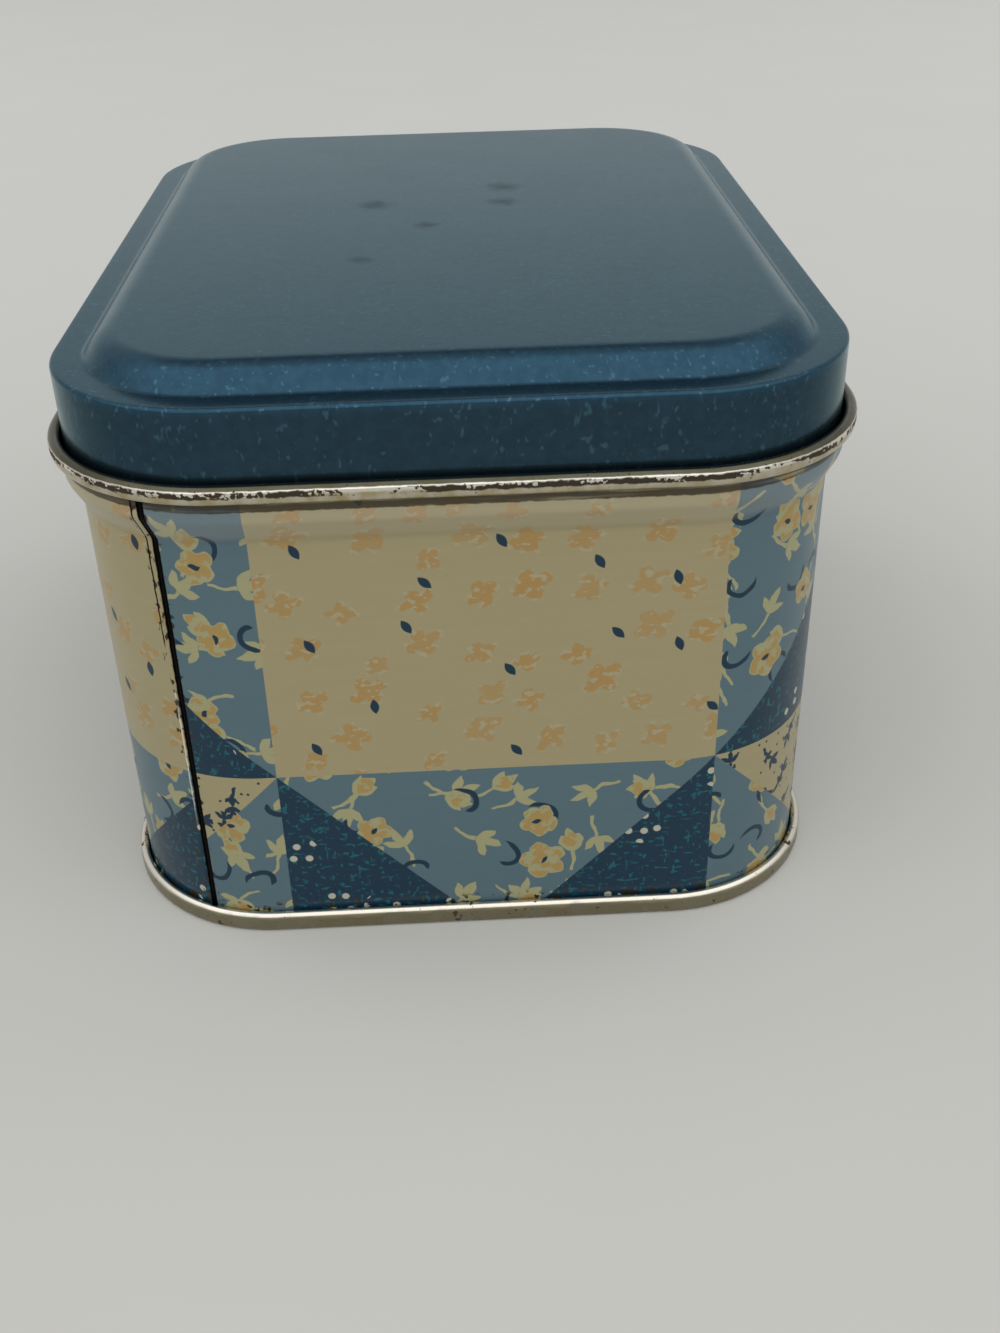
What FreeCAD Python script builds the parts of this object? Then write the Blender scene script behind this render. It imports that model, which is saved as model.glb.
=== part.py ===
import FreeCAD, Part
import math
import os

# Tinplate box with a lift-off lid. Millimetres, +Z up.
# The origin is the middle of the base, X is the width, Y the depth, and -Y is the seamed front end.
# Every section below is drawn in (n, z), where n is the distance out from a corner's upright axis.

# Sheet and plan of the body, measured on its outer face
SHEET = 0.30
BODY_WIDTH = 98.6
BODY_DEPTH = 133.1
BODY_CORNER = 21.3

# Rolled seam that joins the bottom to the wall
SEAM_HEIGHT = 3.0
SEAM_PLAY = 0.20
SEAM_BEND = 0.50
HOOK_ROOM = 0.05
PANEL_RECESS = 3.6
PANEL_BEND = 0.90

# Flared mouth and rolled rim of the wall
RIM_HEIGHT = 69.8
FLARE_DROP = 9.1
FLARE_ANGLE = 28.0
FLARE_BEND = 1.8
RIM_RADIUS = 0.82
RIM_FACE = 0.85
RIM_TUCK = 110.0

# Folded upright seam in the front left corner of the wall
LOCK_ANGLE = 243.5
LOCK_RISE = 3.0
LOCK_HOOK = 2.6
LOCK_PLAY = 0.05
LOCK_STEP_ANGLE = 60.0
LOCK_LEAD = 0.6
LOCK_SLIT = 0.15

# Plain neck collar inside the mouth
COLLAR_DEPTH = 7.0
COLLAR_PLAY = 0.05
COLLAR_STEP = 0.55
COLLAR_STEP_RISE = 2.5
COLLAR_STEP_ANGLE = 30.0
COLLAR_STEP_BEND = 0.5
LOCK_CLEAR = 1.5

# Drawn lid
LID_STAND = 9.0
LID_GAP = 0.32
LID_EDGE = 0.45
LID_SHOULDER = 3.5
LID_RISE = 3.1
LID_SLOPE = 50.0
LID_CROWN = 4.2
LID_FOOT = 1.4
LID_FIT = 0.30
LID_SEAT = 0.05
SKIRT_CLEAR = 0.30

# Folded safety hems on the collar and the lid
HEM_GAP = 0.05
HEM_LENGTH = 2.5

# Plan: all rounded outlines share these four corner axes
AXIS_X = BODY_WIDTH / 2 - BODY_CORNER
AXIS_Y = BODY_DEPTH / 2 - BODY_CORNER
UP = FreeCAD.Vector(0, 0, 1)
CORNERS = [(1, 1, 0), (-1, 1, 90), (-1, -1, 180), (1, -1, 270)]

# Levels and distances that several pieces share
HALF = SHEET / 2
SEAM_PITCH = SHEET + SEAM_PLAY
HOOK_BEND_Z = SHEET + SEAM_PLAY + HALF + SEAM_PITCH
ROLL_BEND_Z = SEAM_HEIGHT - HALF - SEAM_PITCH
HEM_BEND = HALF + HEM_GAP
WALL_N = BODY_CORNER - HALF
COLLAR_LOW_N = WALL_N - SHEET - COLLAR_PLAY
COLLAR_N = COLLAR_LOW_N + COLLAR_STEP
LID_N = COLLAR_N + SHEET + LID_FIT + 2 * HEM_BEND
MOUTH_N = LID_N + SHEET + LID_GAP
FLARE_OUT = MOUTH_N - WALL_N
FLARE_START = RIM_HEIGHT - FLARE_DROP
COLLAR_BOTTOM = FLARE_START - COLLAR_DEPTH
SHOULDER_Z = RIM_HEIGHT + LID_STAND
LOCK_BOTTOM = SEAM_HEIGHT + LOCK_RISE
LOCK_TOP = COLLAR_BOTTOM - LOCK_CLEAR
LOCK_PITCH = SHEET + LOCK_PLAY
LOCK_FOLD = LOCK_PITCH + HALF


def rad(degrees):
    """Return an angle in radians."""
    return math.radians(degrees)


def s_bend_run(offset, angle, bends):
    """Return the straight run that makes two opposite bends shift a strip sideways by offset."""
    return (offset - bends * (1 - math.cos(rad(angle)))) / math.sin(rad(angle))


class Strip:
    """Section of a bent sheet, walked along its middle line in straight runs and round bends."""

    def __init__(self, across, up, heading):
        self.at = FreeCAD.Vector(across, up, 0)
        self.heading = heading
        self.left = []
        self.right = []

    def side(self, heading, distance):
        """Return a point at a distance to the left of the walk, or to the right if negative."""
        normal = FreeCAD.Vector(-math.sin(rad(heading)), math.cos(rad(heading)), 0)
        return self.at + normal * distance

    def run(self, length):
        """Go straight on."""
        step = FreeCAD.Vector(math.cos(rad(self.heading)), math.sin(rad(self.heading)), 0) * length
        for edges, distance in ((self.left, HALF), (self.right, -HALF)):
            start = self.side(self.heading, distance)
            edges.append(Part.LineSegment(start, start + step).toShape())
        self.at = self.at + step

    def bend(self, angle, radius):
        """Turn left by an angle, or right if negative, on a middle-line radius."""
        turn = math.copysign(1, angle)
        centre = self.side(self.heading, turn * radius)
        starts = [self.side(self.heading, distance) for distance in (HALF, -HALF)]
        spin = FreeCAD.Rotation(UP, angle)
        half_spin = FreeCAD.Rotation(UP, angle / 2)
        for edges, start in zip((self.left, self.right), starts):
            arm = start - centre
            middle = centre + half_spin.multVec(arm)
            end = centre + spin.multVec(arm)
            edges.append(Part.Arc(start, middle, end).toShape())
        self.at = centre + spin.multVec(self.at - centre)
        self.heading += angle

    def shift(self, offset, angle, radius):
        """Step sideways to the left with two opposite bends, or to the right if angle is negative."""
        self.bend(angle, radius)
        self.run(s_bend_run(offset, abs(angle), 2 * radius))
        self.bend(-angle, radius)

    def flat_face(self):
        """Return the closed section as a face in the XY plane."""
        caps = []
        for vertex in (0, -1):
            ends = [edges[vertex].Vertexes[vertex].Point for edges in (self.left, self.right)]
            caps.append(Part.LineSegment(ends[0], ends[1]).toShape())
        edges = self.left + self.right + caps
        return Part.Face(Part.Wire(Part.__sortEdges__(edges)))

    def upright_face(self):
        """Return the section stood upright, with its second coordinate along Z."""
        face = self.flat_face()
        face.rotate(FreeCAD.Vector(0, 0, 0), FreeCAD.Vector(1, 0, 0), 90)
        return face


def carried_round(face, more=()):
    """Carry an upright section round the four corners and along the four sides, as one solid."""
    solids = list(more)
    for side_x, side_y, start in CORNERS:
        axis = FreeCAD.Vector(side_x * AXIS_X, side_y * AXIS_Y, 0)
        at_start = face.copy()
        at_start.rotate(FreeCAD.Vector(0, 0, 0), UP, start)
        at_start.translate(axis)
        solids.append(at_start.revolve(axis, UP, 90))
        at_end = at_start.copy()
        at_end.rotate(axis, UP, 90)
        length = 2 * (AXIS_X if start in (0, 180) else AXIS_Y)
        along = FreeCAD.Rotation(UP, start).multVec(FreeCAD.Vector(-length, 0, 0))
        solids.append(at_end.extrude(along))
    return solids[0].multiFuse(solids[1:]).removeSplitter()


def plate(n, bottom):
    """Return a flat sheet whose rounded outline lies at n from the corner axes."""
    edges = []
    ends = []
    for side_x, side_y, start in CORNERS:
        axis = FreeCAD.Vector(side_x * AXIS_X, side_y * AXIS_Y, bottom)
        turns = [FreeCAD.Rotation(UP, start + angle) for angle in (0, 45, 90)]
        points = [axis + turn.multVec(FreeCAD.Vector(n, 0, 0)) for turn in turns]
        edges.append(Part.Arc(*points).toShape())
        ends.append((points[0], points[2]))
    for index, (_, leave) in enumerate(ends):
        arrive = ends[(index + 1) % len(ends)][0]
        edges.append(Part.LineSegment(leave, arrive).toShape())
    outline = Part.Face(Part.Wire(Part.__sortEdges__(edges)))
    return outline.extrude(FreeCAD.Vector(0, 0, SHEET))


def wall_ring():
    """Wall from its hook in the bottom seam, up over the flare, to the rolled rim."""
    hook_tip = ROLL_BEND_Z - HOOK_ROOM
    rim_bend = RIM_RADIUS - HALF
    strip = Strip(WALL_N + 2 * SEAM_PITCH, hook_tip, -90)
    strip.run(hook_tip - HOOK_BEND_Z)
    strip.bend(-180, SEAM_PITCH)
    strip.run(FLARE_START - HOOK_BEND_Z)
    strip.shift(FLARE_OUT, -FLARE_ANGLE, FLARE_BEND)
    strip.run(RIM_HEIGHT - RIM_RADIUS - strip.at.y)
    strip.bend(-180, rim_bend)
    strip.run(RIM_FACE)
    strip.bend(-RIM_TUCK, rim_bend)
    return carried_round(strip.upright_face())


def lock_angle(distance):
    """Return a distance along the wall as an angle about the corner axis."""
    return math.degrees(distance / WALL_N)


def lock_strip(angle, heading_turn):
    """Start a strip on the wall's middle line at an angle about the corner axis."""
    return Strip(WALL_N * math.cos(rad(angle)), WALL_N * math.sin(rad(angle)), angle + heading_turn)


def front_hook(lead_angle):
    """Front edge of the sheet: folded back under itself to hook the other edge."""
    strip = lock_strip(LOCK_ANGLE + lead_angle, -90)
    strip.bend(-lead_angle, WALL_N)
    strip.bend(-180, LOCK_PITCH)
    tip_radius = WALL_N - 2 * LOCK_PITCH
    strip.bend(math.degrees(LOCK_HOOK / tip_radius), tip_radius)
    return strip


def side_hook(lead_angle):
    """Side edge of the sheet: stepped inwards, then folded outwards into the front hook."""
    step = rad(LOCK_STEP_ANGLE)
    inner = WALL_N - 3 * LOCK_PITCH
    fold_gap = (LOCK_FOLD + 2 * LOCK_PLAY) / math.sin(step) - 2 * LOCK_PITCH / math.tan(step)
    across = 2 * SHEET * math.sin(step)
    out = WALL_N - SHEET + 2 * SHEET * math.cos(step)
    slope = across * math.cos(step) - out * math.sin(step)
    rest = across ** 2 + out ** 2 - (inner + SHEET) ** 2
    run = -slope - math.sqrt(slope ** 2 - rest)
    swept = math.degrees(math.atan2(across + run * math.cos(step), out - run * math.sin(step)))
    start = LOCK_ANGLE - math.degrees(fold_gap / inner) - swept
    strip = lock_strip(start - lead_angle, 90)
    strip.bend(lead_angle, WALL_N)
    strip.bend(LOCK_STEP_ANGLE, SHEET)
    strip.run(run)
    strip.bend(-(LOCK_STEP_ANGLE - swept), SHEET)
    strip.bend(math.degrees((fold_gap + LOCK_HOOK + LOCK_PLAY) / inner), inner)
    strip.bend(-180, LOCK_PITCH)
    tip_radius = inner + 2 * LOCK_PITCH
    strip.bend(-math.degrees(LOCK_HOOK / tip_radius), tip_radius)
    return strip, start - lead_angle


def corner_sector(start, end, bottom, top):
    """Return a block that takes in the wall between two angles about the front left corner axis."""
    reach = RIM_RADIUS * 4 + FLARE_OUT
    inside = Part.makeCylinder(WALL_N - 2 * SHEET, top - bottom)
    outside = Part.makeCylinder(BODY_CORNER + reach, top - bottom, FreeCAD.Vector(0, 0, 0), UP, end - start)
    outside.rotate(FreeCAD.Vector(0, 0, 0), UP, start)
    sector = outside.cut(inside)
    sector.translate(FreeCAD.Vector(-AXIS_X, -AXIS_Y, bottom))
    return sector


def make_body_wall():
    """Printed wall: one sheet bent round, hooked to itself at the front left corner."""
    lead_angle = lock_angle(LOCK_LEAD)
    front = front_hook(lead_angle)
    side, side_start = side_hook(lead_angle)
    slit_end = LOCK_ANGLE - lock_angle(LOCK_FOLD + LOCK_SLIT / 2)
    slit_start = slit_end - lock_angle(LOCK_SLIT)
    wall = wall_ring()
    wall = wall.cut(corner_sector(side_start, LOCK_ANGLE + lead_angle, LOCK_BOTTOM, LOCK_TOP))
    wall = wall.cut(corner_sector(slit_start, slit_end, 0, RIM_HEIGHT + RIM_RADIUS))
    hooks = []
    for strip in (front, side):
        face = strip.flat_face()
        face.translate(FreeCAD.Vector(-AXIS_X, -AXIS_Y, LOCK_BOTTOM))
        hooks.append(face.extrude(FreeCAD.Vector(0, 0, LOCK_TOP - LOCK_BOTTOM)))
    return wall.multiFuse(hooks).removeSplitter()


def make_bottom_end():
    """Bottom: recessed panel, upright rim inside the wall, and the roll that hooks the wall."""
    inner_n = WALL_N - SEAM_PITCH
    outer_n = WALL_N + 3 * SEAM_PITCH
    panel_z = PANEL_RECESS + HALF
    edge_n = inner_n - PANEL_BEND
    hook_tip = HOOK_BEND_Z + HOOK_ROOM
    lead = PANEL_BEND
    strip = Strip(edge_n - lead, panel_z, 0)
    strip.run(lead)
    strip.bend(-90, PANEL_BEND)
    strip.run(panel_z - PANEL_BEND - SEAM_BEND - HALF)
    strip.bend(90, SEAM_BEND)
    strip.run(outer_n - inner_n - 2 * SEAM_BEND)
    strip.bend(90, SEAM_BEND)
    strip.run(ROLL_BEND_Z - SEAM_BEND - HALF)
    strip.bend(180, SEAM_PITCH)
    strip.run(ROLL_BEND_Z - hook_tip)
    return carried_round(strip.upright_face(), [plate(edge_n - lead, PANEL_RECESS)])


def make_neck_collar():
    """Neck collar: plain band in the mouth, stepped out to guide the lid, hemmed at its top."""
    top = SHOULDER_Z - SHEET - LID_SEAT
    strip = Strip(COLLAR_LOW_N, COLLAR_BOTTOM, 90)
    strip.run(COLLAR_DEPTH + COLLAR_STEP_RISE)
    strip.shift(COLLAR_STEP, -COLLAR_STEP_ANGLE, COLLAR_STEP_BEND)
    strip.run(top - HALF - HEM_BEND - strip.at.y)
    strip.bend(180, HEM_BEND)
    strip.run(HEM_LENGTH)
    return carried_round(strip.upright_face())


def skirt_bottom():
    """Return the level of the skirt's folded edge, which hangs just clear of the flared wall."""
    angle = rad(FLARE_ANGLE)
    slope_n = WALL_N + FLARE_BEND * (1 - math.cos(angle)) - HALF * math.cos(angle)
    slope_z = FLARE_START + FLARE_BEND * math.sin(angle) + HALF * math.sin(angle)
    fold_n = LID_N - HEM_BEND
    fold_radius = HEM_BEND + HALF
    beside = (slope_n - fold_n) * math.cos(angle)
    fold_z = slope_z + (fold_radius + SKIRT_CLEAR - beside) / math.sin(angle)
    return fold_z - fold_radius


def make_lid():
    """Lid: raised panel, shoulder and skirt drawn from one sheet, hemmed at the skirt's edge."""
    middle_z = SHOULDER_Z - HALF
    edge_bend = LID_EDGE - HALF
    foot_n = LID_N + HALF - LID_SHOULDER
    angle = rad(LID_SLOPE)
    slope = s_bend_run(LID_RISE, LID_SLOPE, LID_CROWN + LID_FOOT)
    reach = (LID_CROWN + LID_FOOT) * math.sin(angle) + slope * math.cos(angle)
    edge_n = foot_n - reach
    lead = LID_CROWN
    skirt_low = skirt_bottom() + HALF + HEM_BEND
    strip = Strip(edge_n - lead, middle_z + LID_RISE, 0)
    strip.run(lead)
    strip.bend(-LID_SLOPE, LID_CROWN)
    strip.run(slope)
    strip.bend(LID_SLOPE, LID_FOOT)
    strip.run(LID_N - edge_bend - foot_n)
    strip.bend(-90, edge_bend)
    strip.run(middle_z - edge_bend - skirt_low)
    strip.bend(-180, HEM_BEND)
    strip.run(HEM_LENGTH)
    return carried_round(strip.upright_face(), [plate(edge_n - lead, middle_z + LID_RISE - HALF)])


PIECES = {
    "body_wall": make_body_wall,
    "bottom_end": make_bottom_end,
    "neck_collar": make_neck_collar,
    "lid": make_lid,
}

os.makedirs("parts", exist_ok=True)
for name, make in PIECES.items():
    shape = make()
    print(name, "solids:", len(shape.Solids), "valid:", shape.isValid(), "mm3:", round(shape.Volume, 1))
    shape.exportStep(f"parts/{name}.step")
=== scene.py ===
"""Looks of a printed tinplate box with a lift-off lid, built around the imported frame.

Sizes are in millimetres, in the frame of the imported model, and become metres when a mesh is made.
Every sheet is a section in (n, z), where n is the distance out from a corner's upright axis, carried
round one rounded rectangle. Lengths along the wall are counted from the side seam, at the front left
corner, round the front, the right side, the back and the left side.
"""

import logging
import math
from dataclasses import dataclass, field
from enum import Enum
from functools import reduce
from typing import Any, Dict, List, Optional, Sequence, Tuple, Type, Union

import bpy
import numpy as np
from mathutils import Matrix, Vector

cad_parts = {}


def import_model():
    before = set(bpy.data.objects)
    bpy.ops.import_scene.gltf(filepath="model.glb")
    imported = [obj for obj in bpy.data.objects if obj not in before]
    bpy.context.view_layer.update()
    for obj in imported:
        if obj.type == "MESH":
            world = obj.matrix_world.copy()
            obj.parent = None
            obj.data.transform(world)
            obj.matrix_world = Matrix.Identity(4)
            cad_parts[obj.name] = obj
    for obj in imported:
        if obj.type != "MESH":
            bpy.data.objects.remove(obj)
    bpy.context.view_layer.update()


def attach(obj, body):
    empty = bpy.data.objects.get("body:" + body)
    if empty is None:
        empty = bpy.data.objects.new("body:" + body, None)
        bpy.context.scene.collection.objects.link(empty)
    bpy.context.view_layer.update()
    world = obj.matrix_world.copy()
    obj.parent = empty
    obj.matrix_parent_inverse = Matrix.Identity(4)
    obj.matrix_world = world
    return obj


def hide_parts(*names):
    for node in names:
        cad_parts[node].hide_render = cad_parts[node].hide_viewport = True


MM = 0.001
PLACE_MAP = "place"
FULL_TURN = 6.2832
SHARP_ANGLE = 40.0
Zone = Tuple[float, float]
log = logging.getLogger("tin_box")


class Ink(Enum):
    """Colours of the print, the paint and the metal, as they look in plain light (0 to 255), and two colours
    of painted light.
    """

    CREAM = (142, 133, 101)
    PALE = (151, 144, 117)
    OCHRE = (147, 119, 71)
    STRAW = (141, 139, 104)
    HONEY = (146, 122, 72)
    SLATE = (74, 96, 104)
    NAVY = (14, 42, 59)
    TEAL = (18, 88, 96)
    DOT = (158, 158, 142)
    LID = (46, 75, 93)
    LID_FLECK = (74, 112, 132)
    LID_SHADE = (40, 66, 82)
    TIN = (196, 190, 172)
    LACQUER = (172, 158, 120)
    # GLINT is a painted highlight colour, not a colour of the metal.
    GLINT = (236, 232, 222)
    # Dark colour of painted shade and of a painted reflection of the dark lid.
    PAINTED_DARK = (66, 66, 52)
    RUST = (42, 34, 17)
    GRIME = (7, 7, 6)
    FLOOR = (184, 184, 180)

    def linear(self) -> Tuple[float, float, float, float]:
        """Return the colour as linear light with full alpha.

        Returns:
            Red, green, blue and alpha, 0 to 1.
        """
        parts = [v / 255 for v in self.value]
        bright = [v / 12.92 if v <= 0.04045 else ((v + 0.055) / 1.055) ** 2.4 for v in parts]
        return (bright[0], bright[1], bright[2], 1.0)


class Socket:
    """Output of a node. Arithmetic on it adds Math nodes to the same tree."""

    def __init__(self, shade: "Shade", link: bpy.types.NodeSocket) -> None:
        """Keep the tree and the output."""
        self.shade = shade
        self.link = link

    def __add__(self, other: "Value") -> "Socket":
        """Return the sum."""
        return self.shade.math("ADD", self, other)

    def __radd__(self, other: float) -> "Socket":
        """Return the sum, with a number first."""
        return self.shade.math("ADD", other, self)

    def __sub__(self, other: "Value") -> "Socket":
        """Return the difference."""
        return self.shade.math("SUBTRACT", self, other)

    def __rsub__(self, other: float) -> "Socket":
        """Return the difference, with a number first."""
        return self.shade.math("SUBTRACT", other, self)

    def __mul__(self, other: "Value") -> "Socket":
        """Return the product."""
        return self.shade.math("MULTIPLY", self, other)

    def __rmul__(self, other: float) -> "Socket":
        """Return the product, with a number first."""
        return self.shade.math("MULTIPLY", other, self)

    def __abs__(self) -> "Socket":
        """Return the size without its sign."""
        return self.shade.math("ABSOLUTE", self)

    def __lt__(self, other: "Value") -> "Socket":
        """Return 1 where this is less, else 0."""
        return self.shade.math("LESS_THAN", self, other)


Value = Union[Socket, float]


class Shade:
    """Node tree that expressions and single nodes are added to."""

    def __init__(self, tree: bpy.types.NodeTree) -> None:
        """Keep the tree."""
        self.tree = tree

    def feed(self, socket: bpy.types.NodeSocket, value: Any) -> None:
        """Link an output to an input, or set the input's own value.

        Args:
            socket: Input.
            value: Output, ink, number or vector.
        """
        if isinstance(value, Socket):
            self.tree.links.new(value.link, socket)
        else:
            socket.default_value = value.linear() if isinstance(value, Ink) else value

    def node(self, kind: str, settings: Optional[Dict[str, Any]] = None,
             inputs: Optional[Dict[Any, Any]] = None) -> bpy.types.Node:
        """Add a node.

        Args:
            kind: Type of the node.
            settings: Its own settings, set before its inputs.
            inputs: Values or links of its inputs, by name or number.

        Returns:
            The node.
        """
        node = self.tree.nodes.new(kind)
        for key, value in (settings or {}).items():
            setattr(node, key, value)
        for key, value in (inputs or {}).items():
            self.feed(node.inputs[key], value)
        return node

    def out(self, node: bpy.types.Node, key: Any = 0) -> Socket:
        """Return one output of a node."""
        return Socket(self, node.outputs[key])

    def math(self, operation: str, *values: Value) -> Socket:
        """Return a Math node on up to three values."""
        return self.out(self.node("ShaderNodeMath", {"operation": operation}, dict(enumerate(values))))

    def least(self, *values: Value) -> Socket:
        """Return the least of the values."""
        return reduce(lambda first, second: self.math("MINIMUM", first, second), values)

    def most(self, *values: Value) -> Socket:
        """Return the greatest of the values."""
        return reduce(lambda first, second: self.math("MAXIMUM", first, second), values)

    def ease(self, value: Socket, low: float, high: float) -> Socket:
        """Return 0 below low, 1 above high and a smooth step between."""
        return self.out(self.node("ShaderNodeMapRange", {"interpolation_type": "SMOOTHSTEP"},
                                  {"Value": value, "From Min": low, "From Max": high}))

    def inside(self, depth: Socket, soft: float = 0.1) -> Socket:
        """Return 1 where a depth in millimetres is positive, with an edge as wide as soft."""
        return self.ease(depth, -soft / 2, soft / 2)

    def mix(self, mask: Value, first: Any, second: Any) -> Socket:
        """Return the first colour where the mask is 0 and the second where it is 1."""
        node = self.node("ShaderNodeMix", {"data_type": "RGBA"}, {0: mask, 6: first, 7: second})
        return self.out(node, 2)

    def vector(self, operation: str, *values: Any) -> Socket:
        """Return the vector result of a Vector Math node."""
        return self.out(self.node("ShaderNodeVectorMath", {"operation": operation}, dict(enumerate(values))))

    def scaled(self, vector: Socket, factor: float) -> Socket:
        """Return a vector times a number."""
        node = self.node("ShaderNodeVectorMath", {"operation": "SCALE"}, {0: vector, "Scale": factor})
        return self.out(node)

    def split(self, vector: Socket) -> Tuple[Socket, Socket, Socket]:
        """Return the three parts of a vector or colour."""
        node = self.node("ShaderNodeSeparateXYZ", None, {0: vector})
        return self.out(node, 0), self.out(node, 1), self.out(node, 2)

    def stretched(self, place: Socket, x: float, y: float, z: float = 1.0) -> Socket:
        """Return the place times three factors. A pattern on it is drawn out where a factor is small."""
        return self.vector("MULTIPLY", place, (x, y, z))

    def noise(self, place: Socket, size: float, detail: float = 2.0, output: str = "Fac") -> Socket:
        """Return a noise whose lumps are about as wide as size.

        Args:
            place: Where, in millimetres.
            size: Width of a lump.
            detail: Number of finer layers.
            output: "Fac" for a value about 0.5, "Color" for three of them.

        Returns:
            The noise.
        """
        node = self.node("ShaderNodeTexNoise", None, {"Vector": place, "Scale": 1 / size, "Detail": detail})
        return self.out(node, output)

    def warped(self, place: Socket, size: float, reach: float) -> Socket:
        """Return the place pushed about by a noise, by up to about half of reach."""
        push = self.vector("SUBTRACT", self.noise(place, size, 1.0, "Color"), (0.5, 0.5, 0.5))
        return self.vector("ADD", place, self.scaled(push, reach))

    def bump(self, height: Socket, distance: float, strength: float = 1.0) -> Socket:
        """Return a normal bent by a height of 0 to 1 that stands for a distance in metres."""
        return self.out(self.node("ShaderNodeBump", None,
                                  {"Strength": strength, "Distance": distance, "Height": height}))


class FinishShade(Shade):
    """Node tree of one finish, which ends in a Principled shader."""

    def __init__(self, name: str) -> None:
        """Make the material.

        Args:
            name: Name of the material.
        """
        self.material = bpy.data.materials.new(name)
        self.material.use_nodes = True
        super().__init__(self.material.node_tree)
        self.shader = next(n for n in self.tree.nodes if n.type == "BSDF_PRINCIPLED")

    def finish(self, **inputs: Any) -> bpy.types.Material:
        """Set or link inputs of the shader.

        Args:
            inputs: Values or links, by the input's name with _ for a space.

        Returns:
            The material.
        """
        for key, value in inputs.items():
            self.feed(self.shader.inputs[key.replace("_", " ")], value)
        return self.material

    def object_place(self) -> Socket:
        """Return the place in the piece's own coordinates, in millimetres."""
        return self.scaled(self.out(self.node("ShaderNodeTexCoord"), "Object"), 1 / MM)


@dataclass(frozen=True)
class RoundedPath:
    """Rounded rectangle that the sheets are carried along, from the side seam anticlockwise.

    Attributes:
        axis_x: Distance of the corner axes from the middle, across.
        axis_y: Distance of the corner axes from the middle, along.
        length_n: Distance out from the axes at which lengths are measured.
        seam_angle: Angle of the side seam about the front left axis, in degrees.
        corner_steps: Steps in a quarter turn.
        side_step: Longest step on a straight side.
        seam_reach: Length on each side of the seam that gets fine steps.
        seam_step: Length of a fine step.
    """

    axis_x: float = 28.0
    axis_y: float = 45.25
    length_n: float = 21.3
    seam_angle: float = 243.5
    corner_steps: int = 26
    side_step: float = 3.6
    seam_reach: float = 4.4
    seam_step: float = 0.14

    def stations(self) -> Tuple[np.ndarray, np.ndarray]:
        """Return the path's turning points.

        Between two of them either the axis or the angle stays, so both change evenly with length.

        Returns:
            Rows of axis x, axis y and angle in radians, and the length at each.
        """
        a, b, seam = self.axis_x, self.axis_y, self.seam_angle
        rows = np.array([
            (-a, -b, seam), (-a, -b, 270), (a, -b, 270), (a, -b, 360), (a, b, 360), (a, b, 450),
            (-a, b, 450), (-a, b, 540), (-a, -b, 540), (-a, -b, seam + 360),
        ], float)
        rows[:, 2] = np.radians(rows[:, 2])
        step = np.diff(rows, axis=0)
        lengths = np.hypot(step[:, 0], step[:, 1]) + self.length_n * step[:, 2]
        return rows, np.concatenate([[0.0], np.cumsum(lengths)])

    def total(self) -> float:
        """Return the length once round."""
        return float(self.stations()[1][-1])

    def lengths(self) -> np.ndarray:
        """Space points along the path: evenly on each side and corner, and finely near the seam.

        Returns:
            Their lengths from the seam, from 0 up to but not including the total.
        """
        rows, ends = self.stations()
        parts = []
        for start, end, turn in zip(ends[:-1], ends[1:], np.diff(rows[:, 2])):
            steps = turn / (math.pi / 2) * self.corner_steps if turn else (end - start) / self.side_step
            parts.append(np.linspace(start, end, int(math.ceil(steps)) + 1))
        fine = np.arange(0, self.seam_reach, self.seam_step)
        joined = np.concatenate(parts)
        plain = joined[(joined > self.seam_reach) & (joined < ends[-1] - self.seam_reach)]
        return np.unique(np.round(np.concatenate([fine, plain, ends[-1] - fine[1:]]), 6))

    def frame_at(self, lengths: np.ndarray) -> Tuple[np.ndarray, np.ndarray]:
        """Return the axis points and the outward directions at lengths along the path.

        Args:
            lengths: Lengths from the seam.

        Returns:
            Two arrays with a row of x and y for each length.
        """
        rows, ends = self.stations()
        axis = np.stack([np.interp(lengths, ends, rows[:, k]) for k in (0, 1)], axis=1)
        angle = np.interp(lengths, ends, rows[:, 2])
        return axis, np.stack([np.cos(angle), np.sin(angle)], axis=1)


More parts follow.
